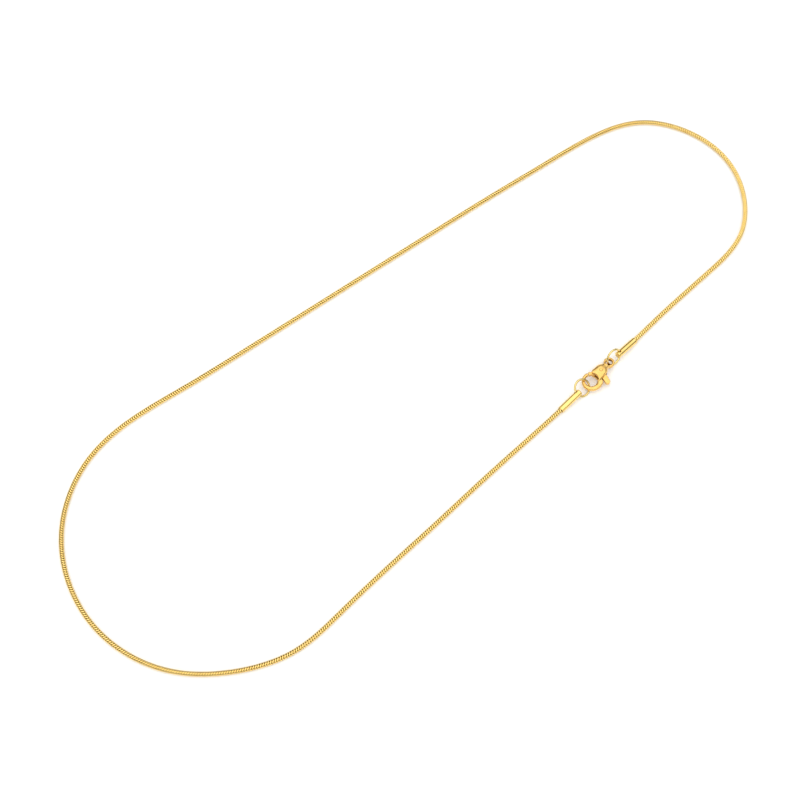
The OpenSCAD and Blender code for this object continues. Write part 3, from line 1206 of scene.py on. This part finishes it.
@dataclass(frozen=True)
class Rivet:
    """The rivet, with slightly domed ends.

    Attributes:
        radius: Radius of the rivet.
        half: Half of its length.
        edge: Rounding of its ends.
        dome: Rise of its ends in the middle.
        columns: Points round it.
    """

    radius: float = 0.35 * MM
    half: float = 1.38 * MM
    edge: float = 0.06 * MM
    dome: float = 0.006 * MM
    columns: int = 48

    def build(self, material: bpy.types.Material) -> bpy.types.Object:
        """Turns the rivet's outline about its axis.

        The points are (r_i cos b, r_i sin b, z_i) along the outline. A pole closes each end: its faces
        join it with three neighbours of the last round.

        Args:
            material: The plating.

        Returns:
            The object.
        """
        a = np.linspace(0.0, math.pi / 2, 5)
        corner = np.array([self.radius, self.half]) - self.edge
        rim = corner + self.edge * np.stack([np.cos(a), np.sin(a)], axis=-1)
        top = np.concatenate([rim, [[self.radius / 2, self.half + 0.7 * self.dome]]])
        outline = np.concatenate([(top * [1, -1])[::-1], top])
        b = np.linspace(0.0, 2 * math.pi, self.columns, endpoint=False)
        ring = np.stack([np.cos(b), np.sin(b), np.zeros(len(b))], axis=-1)
        points = outline[:, 0, None, None] * ring + outline[:, 1, None, None] * np.array([0.0, 0.0, 1.0])
        poles = np.array([[0.0, 0.0, -1.0], [0.0, 0.0, 1.0]]) * (self.half + self.dome)
        points = np.concatenate([points.reshape(-1, 3), poles])
        wall = torus_quads(len(outline), self.columns)[:-self.columns, ::-1]
        size = len(outline) * self.columns
        j = np.arange(0, self.columns, 2)
        near = np.stack([j, j + 1, (j + 2) % self.columns], axis=-1)
        low = np.concatenate([near[:, ::-1], np.full((len(j), 1), size)], axis=-1)
        high = np.concatenate([near + size - self.columns, np.full((len(j), 1), size + 1)], axis=-1)
        quads = np.concatenate([wall, low, high])
        obj = add_object("rivet_turned", Fit().on_clasp(points), quads, material)
        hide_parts("lever_pin")
        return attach(obj, Body.NECKLACE.value)


# Studio


@dataclass(frozen=True)
class Studio:
    """Floor, light tent and camera.

    Attributes:
        aim: Point of the floor in the middle of the picture.
        eye: The camera's place.
        lens: Focal length on a 36 mm sensor, in millimetres.
        floor: Half side of the floor.
        tent: Brightness of the tent at heights from the horizon, 0, to the top, 1.
        top: Direction of the tent's top, which leans towards the camera.
        warmth: Colour of the tent's light.
    """

    aim: tuple[float, float, float] = (-8.56 * MM, -1.41 * MM, 0.0)
    eye: tuple[float, float, float] = (-146.03 * MM, -165.25 * MM, 421.55 * MM)
    lens: float = 91.125
    floor: float = 1.5
    tent: tuple[Pair, ...] = ((0.0, 0.14), (0.33, 0.2), (0.46, 0.85), (0.62, 1.45), (1.0, 1.6))
    top: tuple[float, float, float] = (-0.09, -0.107, 0.99)
    warmth: tuple[float, float, float] = (1.0, 0.99, 0.975)

    def _light_tent(self) -> bpy.types.World:
        """Makes the tent: brightness by the dot product of the direction and the tent's top.

        Returns:
            The world.
        """
        world = bpy.data.worlds.new("light_tent")
        world.use_nodes = True
        tree = world.node_tree
        place = tree.nodes.new("ShaderNodeTexCoord")
        height = tree.nodes.new("ShaderNodeVectorMath")
        height.operation = "DOT_PRODUCT"
        height.inputs[1].default_value = self.top
        ramp = tree.nodes.new("ShaderNodeValToRGB")
        peak = max(strength for _, strength in self.tent)
        stops = ramp.color_ramp.elements
        while len(stops) < len(self.tent):
            stops.new(0.5)
        for stop, (level, strength) in zip(stops, self.tent):
            stop.position = level
            stop.color = (*(c * strength / peak for c in self.warmth), 1.0)
        tree.nodes["Background"].inputs["Strength"].default_value = peak
        tree.links.new(place.outputs["Object"], height.inputs[0])
        tree.links.new(height.outputs["Value"], ramp.inputs["Fac"])
        tree.links.new(ramp.outputs["Color"], tree.nodes["Background"].inputs["Color"])
        return world

    def build(self) -> None:
        """Sets up everything round the necklace."""
        scene = bpy.context.scene
        side = self.floor
        corners = np.array([[-side, -side, 0.0], [side, -side, 0.0], [side, side, 0.0], [-side, side, 0.0]])
        add_object("floor", corners, np.array([[0, 1, 2, 3]]), Paper().make())
        scene.world = self._light_tent()
        aim = Vector(self.aim)
        data = bpy.data.cameras.new("camera")
        data.lens = self.lens
        data.sensor_width = 36.0
        data.clip_start = 0.01
        data.clip_end = 10.0
        camera = bpy.data.objects.new("camera", data)
        camera.location = self.eye
        camera.rotation_euler = (aim - Vector(self.eye)).to_track_quat("-Z", "Y").to_euler()
        scene.collection.objects.link(camera)
        scene.camera = camera
        scene.view_settings.view_transform = "Standard"
        log.info("studio: tent of %d stops", len(self.tent))


def main() -> None:
    """Builds the necklace and the studio."""
    logging.basicConfig(level=logging.INFO, format="%(name)s %(message)s")
    Studio().build()
    gold, wire = POLISHED.make(), DRAWN.make()
    pieces = [
        SnakeChain().build(LINKED.make()),
        EndCap("end_cap_a", RING_A, ROUTE[0]).build(gold),
        EndCap("end_cap_b", RING_B, ROUTE[-1]).build(gold),
        JumpRing("jump_ring_a", RING_A, joint=100.0).build(wire),
        JumpRing("jump_ring_b", RING_B, joint=70.0).build(wire),
        *Clasp().build(CAST.make()),
        Rivet().build(RIVETED.make()),
    ]
    for piece in pieces:
        log.info("%s: %d points, %d faces", piece.name, len(piece.data.vertices), len(piece.data.polygons))


if __name__ == "__main__":
    main()
